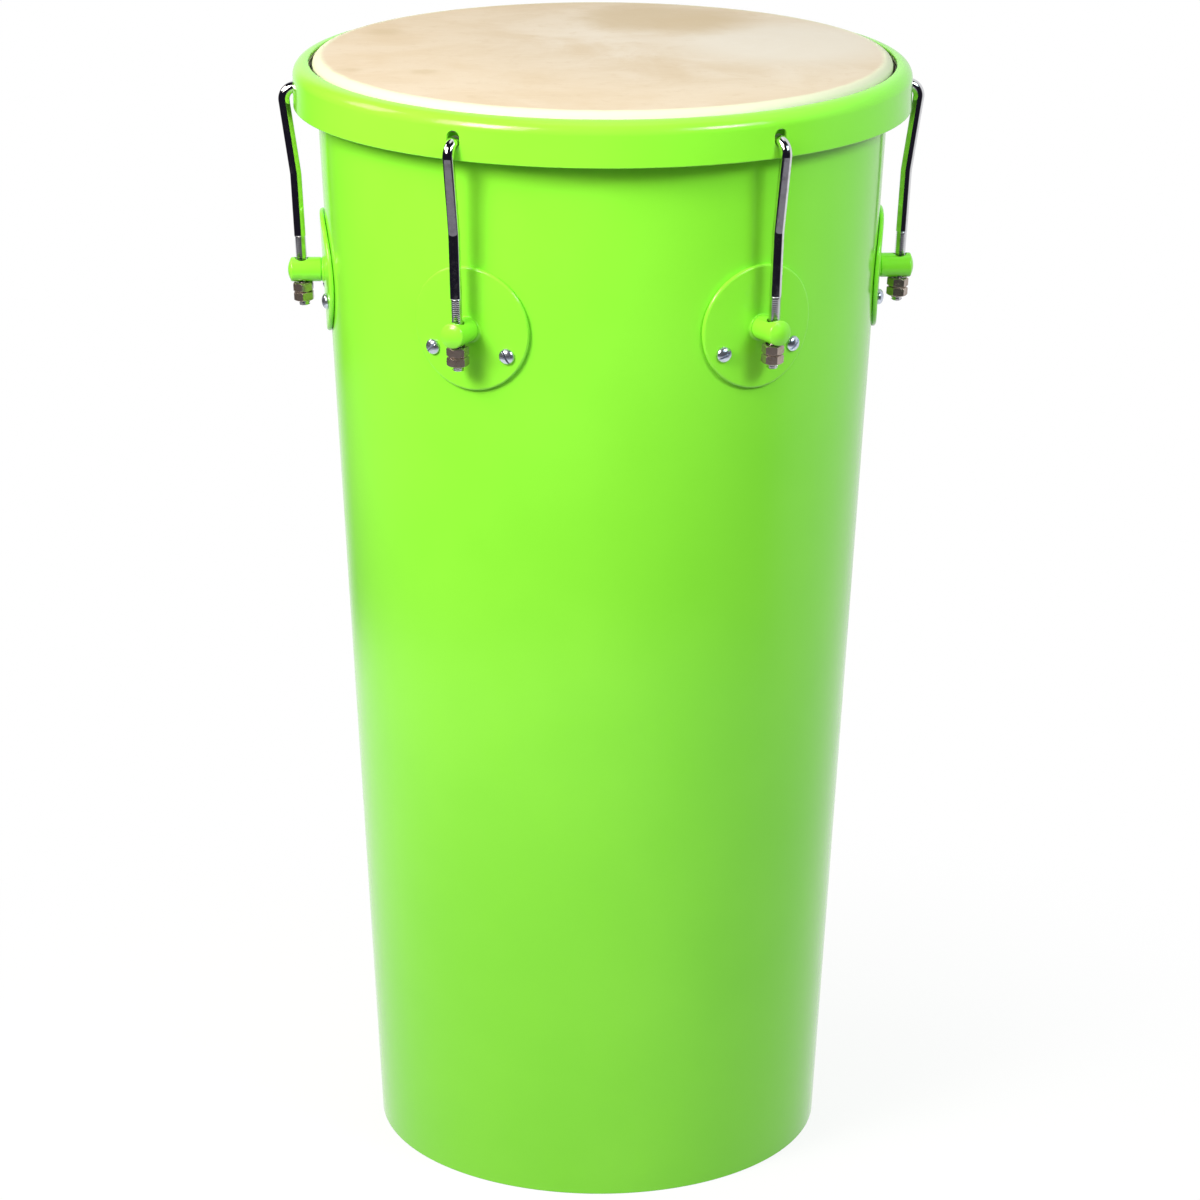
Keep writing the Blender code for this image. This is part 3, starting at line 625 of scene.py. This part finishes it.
combined(rod, moved(threaded_bar("thread", ROD_RADIUS, THREAD_PITCH, ROD_TIP, THREAD_TOP), ROD_FRAME), "UNION")
shaded(rod, 50)
tell(rod)

# %% Hang a rod at each station
for index in range(STATIONS):
    twin = copy_of(rod, f"hook_rod_chromed_{index + 1}", station(index))
    hand_over(twin, chrome, f"rod_{index + 1}", "chrome", f"hook_rod_{index + 1}")
bpy.data.objects.remove(rod, do_unlink=True)
print(STATIONS, "rods hung")

# %% [markdown]
# ## Nuts
# A hexagon nut is a bar of six flats whose corners are turned off by a cone at both faces. So a
# six-sided cylinder keeps only what lies inside a turned blank, and a bore with a countersink at
# each end is then cut through it. The tuning nut and the lock nut are jammed against each other.

# %% A helper that makes nuts
def hexagon_nut(name, flats, height, bore):
    """Chamfered nut about Z with a corner toward +X, standing on its lower face."""
    bpy.ops.object.select_all(action="DESELECT")
    bpy.ops.mesh.primitive_cylinder_add(vertices=6, radius=flats / math.sqrt(3), depth=height,
                                        location=(0, 0, height / 2), rotation=(0, 0, math.radians(30)))
    nut = bpy.context.object
    nut.name = nut.data.name = name
    bpy.ops.object.transform_apply(location=True, rotation=True, scale=True)
    face, corner = 0.445 * flats, 0.6 * flats
    drop = (corner - face) * math.tan(math.radians(30))
    blank = [(0, 0), (face, 0), (corner, drop), (corner, height - drop), (face, height), (0, height)]
    combined(nut, half_facet(turned("blank", blank, 96), 96), "INTERSECT")
    sink = 1.16 * bore
    drill = [(0, -height), (sink + height, -height), (sink, 0), (bore, sink - bore),
             (bore, height - sink + bore), (sink, height), (sink + height, 2 * height), (0, 2 * height)]
    combined(nut, turned("drill", drill, 48), "DIFFERENCE")
    return shaded(softened(nut, 0.00012, 25), 30)


NUT_TURNS = (0, 14, -17, 23, 3, -12)
LOCK_NUT_TURN = 2
rod_nut = hexagon_nut("nut", 0.0100, NUT_HEIGHT, ROD_RADIUS + 0.0001)
tell(rod_nut)
for index, turn in enumerate(NUT_TURNS):
    number = index + 1
    for name, level, extra in (("tuning_nut", 1, 0), ("lock_nut", 2, LOCK_NUT_TURN)):
        seat = Matrix.Translation((0, 0, -POST_RADIUS - 0.00005 - level * (NUT_HEIGHT + 0.00005)))
        spin = Matrix.Rotation(math.radians(turn + extra), 4, "Z")
        twin = copy_of(rod_nut, f"{name}_nickel_{number}", station(index) @ ROD_FRAME @ seat @ spin)
        hand_over(twin, nickel, f"nuts_{number}", "dark_nickel", f"{name}_{number}")
bpy.data.objects.remove(rod_nut, do_unlink=True)

# %% [markdown]
# ## Tension posts
# A post is a stud turned from bar: a low dome with a rounded edge at the outer end, a spigot
# that passes through plate and shell, and a riveted head inside. The rod's hole is drilled
# across it in the rod's own lean, and paint has softened the hole's edge.

# %% Turn and drill a post
PLATE_FRONT = GAP + 0.0023
BOSS_FRONT = PLATE_FRONT + 0.0007
POST_REACH = 0.0213
POST_DOME = 0.0020
POST_EDGE = 0.0012
POST_HOLE_RADIUS = 0.0037
SPIGOT_RADIUS = 0.0040
RIVET_RADIUS = 0.0055
RIVET_HEIGHT = 0.0022

foot = BOSS_FRONT + 0.0001
rivet_face = -SHEET - 0.0006
dome_radius = (POST_RADIUS ** 2 + POST_DOME ** 2) / (2 * POST_DOME)
dome_turn = math.asin((POST_RADIUS - POST_EDGE) / dome_radius)
post_section = arc((0, POST_REACH - dome_radius), dome_radius, QUARTER, -dome_turn, 8)
edge_centre = (POST_RADIUS - POST_EDGE, post_section[-1][1] - POST_EDGE)
post_section += arc(edge_centre, POST_EDGE, QUARTER - dome_turn, dome_turn - QUARTER, 8)[1:]
post_section += [(POST_RADIUS, foot + 0.0005), (POST_RADIUS - 0.0005, foot), (SPIGOT_RADIUS, foot),
                 (SPIGOT_RADIUS, rivet_face), (RIVET_RADIUS, rivet_face), (RIVET_RADIUS, rivet_face - 0.0006)]
post_section += [(0.6 * RIVET_RADIUS, rivet_face - RIVET_HEIGHT), (0, rivet_face - RIVET_HEIGHT)]
post = moved(turned("post", post_section, 72), POST_FRAME)
bpy.ops.object.select_all(action="DESELECT")
bpy.ops.mesh.primitive_cylinder_add(vertices=64, radius=POST_HOLE_RADIUS, depth=4 * POST_RADIUS)
drill = moved(bpy.context.object, ROD_FRAME)
combined(post, drill, "DIFFERENCE")
shaded(softened(post, 0.00022, 38), 40)
tell(post)
for index in range(STATIONS):
    twin = copy_of(post, f"tension_post_painted_{index + 1}", station(index))
    hand_over(twin, paint, "drum", "lime_paint", f"tension_post_{index + 1}")
bpy.data.objects.remove(post, do_unlink=True)

# %% [markdown]
# ## Lug plates
# Each post stands on a round plate, pressed with a raised seat and rolled to the shell's curve.
# It is turned flat and then bent: a point keeps its distance in front of the wall while its
# sideways place becomes an angle about the drum. Simple Deform can't leave the seat flat or
# follow a cone, so this one bend is written out.

# %% Turn the plate and bend it
PLATE_RADIUS = 0.0325
PLATE_EDGE = 0.0014
BACK_EDGE = 0.0006
BOSS_HEIGHT = 0.0007
BOSS_FLARE = 0.0010

flare_centre = (POST_RADIUS + BOSS_FLARE, BOSS_FRONT)
plate_section = [(SPIGOT_RADIUS, BOSS_FRONT)]
plate_section += [(flare_centre[0] + BOSS_FLARE * x, flare_centre[1] + BOSS_HEIGHT * z)
                  for x, z in arc((0, 0), 1, math.pi, QUARTER, 8)]
rings = [flare_centre[0] + share * (PLATE_RADIUS - flare_centre[0]) for share in (0.2, 0.4, 0.6, 0.8)]
plate_section += [(ring, PLATE_FRONT) for ring in rings]
plate_section += arc((PLATE_RADIUS - PLATE_EDGE, PLATE_FRONT - PLATE_EDGE), PLATE_EDGE, QUARTER, -QUARTER, 6)
plate_section += arc((PLATE_RADIUS - BACK_EDGE, GAP + BACK_EDGE), BACK_EDGE, 0, -QUARTER, 4)
plate_section += [(ring, GAP) for ring in reversed(rings)]
plate_section += [(flare_centre[0], GAP), (POST_RADIUS, GAP + BOSS_HEIGHT), (SPIGOT_RADIUS, GAP + BOSS_HEIGHT)]
plate = turned("plate", plate_section, 120)
for vertex in plate.data.vertices:
    across, out = vertex.co.y, vertex.co.z
    share = (vertex.co.xy.length - POST_RADIUS) / BOSS_FLARE
    height = POST_HEIGHT - vertex.co.x
    radius, angle = wall_radius(height) + out, across / wall_radius(POST_HEIGHT)
    seat = Vector((wall_radius(POST_HEIGHT) + out, across, height))
    rolled = Vector((radius * math.cos(angle), radius * math.sin(angle), height))
    vertex.co = seat.lerp(rolled, min(1, max(0, share)))
shaded(plate)
tell(plate)
for index in range(STATIONS):
    twin = copy_of(plate, f"lug_plate_painted_{index + 1}", station(index))
    hand_over(twin, paint, "drum", "lime_paint", f"lug_plate_{index + 1}")
bpy.data.objects.remove(plate, do_unlink=True)

# %% [markdown]
# ## Plate screws
# Two M4 round-head machine screws hold each plate, with a nut inside the shell. A head is a
# dome with one saw-cut slot, and after tightening no two slots stand alike.

# %% Make the screws and their nuts
SCREW_RADIUS = 0.0020
SCREW_PITCH = 0.0007
HEAD_RADIUS = 0.0041
HEAD_HEIGHT = 0.0027
HEAD_RIM = 0.0003
SAW_WIDTH = 0.0010
SAW_DEPTH = 0.0013
SCREW_CIRCLE = PLATE_RADIUS - 0.0085
SCREW_BELOW_LEVEL = math.radians(30)
SCREW_HEIGHT = POST_HEIGHT - SCREW_CIRCLE * math.sin(SCREW_BELOW_LEVEL)
SCREW_ANGLE = SCREW_CIRCLE * math.cos(SCREW_BELOW_LEVEL) / wall_radius(SCREW_HEIGHT)
SCREW_NUT_HEIGHT = 0.0032
SCREW_NUT_SEAT = SHEET + 0.0006
SCREW_LENGTH = PLATE_FRONT + SCREW_NUT_SEAT + SCREW_NUT_HEIGHT + 0.0018
SLOT_TURNS = {"right": (35, -62, 80, 15, 28, -46), "left": (-20, 70, 10, -75, -43, -60)}


def screw_frame(side):
    """Frame on the wall whose Z points out along a screw."""
    return (Matrix.Rotation(side * SCREW_ANGLE, 4, "Z")
            @ Matrix.Translation((wall_radius(SCREW_HEIGHT), 0, SCREW_HEIGHT))
            @ Matrix.Rotation(QUARTER + LEAN, 4, "Y"))


dome = [(HEAD_RADIUS * x, HEAD_RIM + (HEAD_HEIGHT - HEAD_RIM) * z)
        for x, z in arc((0, 0), 1, QUARTER, -QUARTER, 12)]
dome[0] = (0, HEAD_HEIGHT)
neck = SCREW_RADIUS - 0.0002
screw_section = dome + [(HEAD_RADIUS, 0), (neck, 0), (neck, -0.0012), (0, -0.0012)]
screw = half_facet(turned("screw", screw_section, 64), 64)
bpy.ops.object.select_all(action="DESELECT")
bpy.ops.mesh.primitive_cube_add(size=1)
saw = moved(bpy.context.object, Matrix.Translation((0, 0, HEAD_HEIGHT - SAW_DEPTH + 0.002))
            @ Matrix.Diagonal((4 * HEAD_RADIUS, SAW_WIDTH, 0.004, 1)))
combined(screw, saw, "DIFFERENCE")
softened(screw, 0.00012, 50)
combined(screw, threaded_bar("thread", SCREW_RADIUS, SCREW_PITCH, -SCREW_LENGTH, -0.0008, 20), "UNION")
shaded(screw, 45)
tell(screw)
screw_nut = hexagon_nut("nut", 0.0070, SCREW_NUT_HEIGHT, SCREW_RADIUS + 0.0001)
tell(screw_nut)

# %% Screw on the plates
for index in range(STATIONS):
    number = index + 1
    for side, side_name in ((1, "right"), (-1, "left")):
        spot = station(index) @ screw_frame(side)
        slot_turn = Matrix.Rotation(math.radians(SLOT_TURNS[side_name][index]), 4, "Z")
        place = spot @ Matrix.Translation((0, 0, PLATE_FRONT + 0.0001)) @ slot_turn
        twin = copy_of(screw, f"plate_screw_zinc_{side_name}_{number}", place)
        hand_over(twin, zinc, "drum", "zinc", f"plate_screw_{side_name}_{number}")
        place = spot @ Matrix.Translation((0, 0, -SCREW_NUT_SEAT - SCREW_NUT_HEIGHT)) @ slot_turn
        twin = copy_of(screw_nut, f"screw_nut_zinc_{side_name}_{number}", place)
        hand_over(twin, zinc, "drum", "zinc", f"screw_nut_{side_name}_{number}")
bpy.data.objects.remove(screw, do_unlink=True)
bpy.data.objects.remove(screw_nut, do_unlink=True)

# %% [markdown]
# ## The studio
# The drum stands on white paper between a large soft lamp on the left, which is a little warm,
# and a weaker, cooler one on the right. A small one far out on the left lights the shell's side.
# The paper looks white to the camera but throws less light back, so the lamps set the level on
# the object. What blackens the chrome is the room: an upright mirror seen from above shows the
# floor in front of it, where the paper gives way to a grey table and then to a dark room that
# is open and white only to the back right. That room is seen by reflections alone. The paper
# is clear from below and under the drum, which lights the shell's inside for a look from there.

# %% Light the world
WHITE = (1, 1, 1, 1)
FILL_LIGHT = 0.54


def seen_directly(tree):
    """1 for camera, mirror and glass rays, 0 for the rays that carry light."""
    path = tree.nodes.new("ShaderNodeLightPath")
    total = path.outputs["Is Camera Ray"]
    for other in ("Is Glossy Ray", "Is Transmission Ray"):
        added = tree.nodes.new("ShaderNodeMath")
        added.operation, added.use_clamp = "ADD", True
        tree.links.new(total, added.inputs[0])
        tree.links.new(path.outputs[other], added.inputs[1])
        total = added.outputs[0]
    return total


world = bpy.data.worlds.new("studio")
bpy.context.scene.world = world
world.use_nodes = True
sky = world.node_tree
level = sky.nodes.new("ShaderNodeMapRange")
level.inputs["To Min"].default_value = FILL_LIGHT
sky.links.new(seen_directly(sky), level.inputs["Value"])
sky.nodes["Background"].inputs["Color"].default_value = WHITE
sky.links.new(level.outputs["Result"], sky.nodes["Background"].inputs["Strength"])
print("world fill", FILL_LIGHT)

# %% Lay the paper
PAPER_SEEN = (0.90, 0.90, 0.90, 1)
PAPER_BOUNCE = (0.19, 0.19, 0.19, 1)
GLOW_NEAR = 0.87
GLOW_FAR = 1.0
GLOW_FROM, GLOW_TO = 0.13, 0.50
WINDOW_RADIUS = FOOT_RADIUS - 0.0005

bpy.ops.object.select_all(action="DESELECT")
bpy.ops.mesh.primitive_plane_add(size=16)
floor = bpy.context.object
floor.name = floor.data.name = "floor"
ground = Finish("white_paper", Roughness=0.9, Specular_IOR_Level=0.1)
seen = Value(ground, seen_directly(ground.tree))
ground.wear(Base_Color=ground.blend(seen, PAPER_BOUNCE, PAPER_SEEN))
glow = ground.node("Emission", inputs={"Color": WHITE})
lit = Value(ground, ground.shader.outputs[0])
away = ground.node("VectorMath", {"operation": "LENGTH"}, {0: ground.place}, output="Value")
whiteness = GLOW_NEAR + (GLOW_FAR - GLOW_NEAR) * ground.ramp(away, GLOW_FROM, GLOW_TO)
paper = ground.node("MixShader", inputs={0: whiteness * seen, 1: lit, 2: glow})
from_below = ground.node("NewGeometry", output="Backfacing")
window = from_below + (1 - ground.ramp(away, WINDOW_RADIUS - 0.001, WINDOW_RADIUS))
surface = ground.node("MixShader", inputs={0: window, 1: paper, 2: ground.node("BsdfTransparent")})
ground.feed(ground.tree.nodes["Material Output"].inputs["Surface"], surface)
floor.data.materials.append(ground.material)
print("paper laid")

# %% Darken the room
ROOM_RADIUS, ROOM_HEIGHT, SKYLIGHT_RADIUS = 5.0, 4.0, 1.2
PAPER_END, TABLE_FROM = 0.72, 0.95
TABLE_END, DARK_FROM = 1.44, 1.54
TABLE_GREY = (0.235, 0.225, 0.255, 1)
ROOM_DARK = (0.012, 0.010, 0.018, 1)
OPEN_SIDE = math.radians(145) + CAMERA_AZIMUTH
OPEN_FROM, OPEN_TO = 0.20, 0.60
OPENNESS = 0.85

dark = turned("dark_room", [(0, 0.001), (ROOM_RADIUS, 0.001), (ROOM_RADIUS, ROOM_HEIGHT),
                            (SKYLIGHT_RADIUS, ROOM_HEIGHT + 1)], 48)
room = Finish("dark_room", Base_Color=(0, 0, 0, 1), Specular_IOR_Level=0.0, Emission_Strength=1.0)
level_place = room.node("VectorMath", {"operation": "MULTIPLY"}, {0: room.place, 1: (1, 1, 0)})
reach = room.node("VectorMath", {"operation": "LENGTH"}, {0: level_place}, output="Value")
heading = room.node("VectorMath", {"operation": "NORMALIZE"}, {0: level_place})
open_way = (math.sin(OPEN_SIDE), -math.cos(OPEN_SIDE), 0)
toward = room.node("VectorMath", {"operation": "DOT_PRODUCT"}, {0: heading, 1: open_way}, output="Value")
room.wear(
    Alpha=room.ramp(reach, PAPER_END, TABLE_FROM) * (1 - OPENNESS * room.ramp(toward, OPEN_FROM, OPEN_TO)),
    Emission_Color=room.blend(room.ramp(reach, TABLE_END, DARK_FROM), TABLE_GREY, ROOM_DARK),
)
dark.data.materials.append(room.material)
dark.visible_camera = dark.visible_diffuse = dark.visible_shadow = dark.visible_transmission = False
print("room darkened")

# %% [markdown]
# ## The lamps
# A soft box is a cloth in front of a bulb, so its middle is brighter than its rim. A wide lamp
# alone gives blurred shadows and weak highlights, and a small one alone gives hard ones. Each
# main lamp here is a wide one with a small core, which draws the rods' shadows on the shell.
# A low lamp behind the drum lights only its back. Mirrors don't show it, so that the skin,
# which is seen at a flat angle from the front, gets no sheen from it.

# %% Hang the lamps
AIM = Vector((0, 0, 0.42))
WARM = (1.0, 0.89, 0.80)
COOL = (0.72, 0.98, 1.0)


def lamp(name, azimuth, elevation, distance, width, height, power, colour=(1, 1, 1)):
    """Soft rectangular lamp; azimuth 0 is straight behind the camera, and + is to its right."""
    light = bpy.data.lights.new(name, "AREA")
    light.shape, light.size, light.size_y, light.energy = "RECTANGLE", width, height, power
    light.color = colour
    thing = bpy.data.objects.new(name, light)
    bpy.context.scene.collection.objects.link(thing)
    turn = math.radians(azimuth) + CAMERA_AZIMUTH
    rise = math.radians(elevation)
    out = Vector((math.sin(turn) * math.cos(rise), -math.cos(turn) * math.cos(rise), math.sin(rise)))
    thing.location = AIM + distance * out
    thing.rotation_mode = "QUATERNION"
    thing.rotation_quaternion = out.to_track_quat("Z", "Y")
    print(name, [round(x, 2) for x in thing.location], power, "W")
    return thing


lamp("key_left", -44, 34, 1.2, 0.66, 0.56, 8.6, WARM)
lamp("key_left_core", -43, 34, 1.19, 0.30, 0.34, 7.0, (1.0, 0.96, 0.92))
lamp("key_right", 46, 34, 1.2, 0.56, 0.34, 3.3, COOL)
lamp("key_right_core", 45, 34, 1.19, 0.26, 0.24, 3.0)
lamp("side_left", -96, 34, 1.2, 0.36, 0.40, 2.6, WARM)
lamp("back", 178, 12, 1.6, 1.2, 0.9, 5.6).visible_glossy = False

# %% [markdown]
# ## Last lines
# The colours should come out as they were mixed, so the picture is shown without a film look.

# %% Finish
bpy.context.scene.view_settings.view_transform = "Standard"
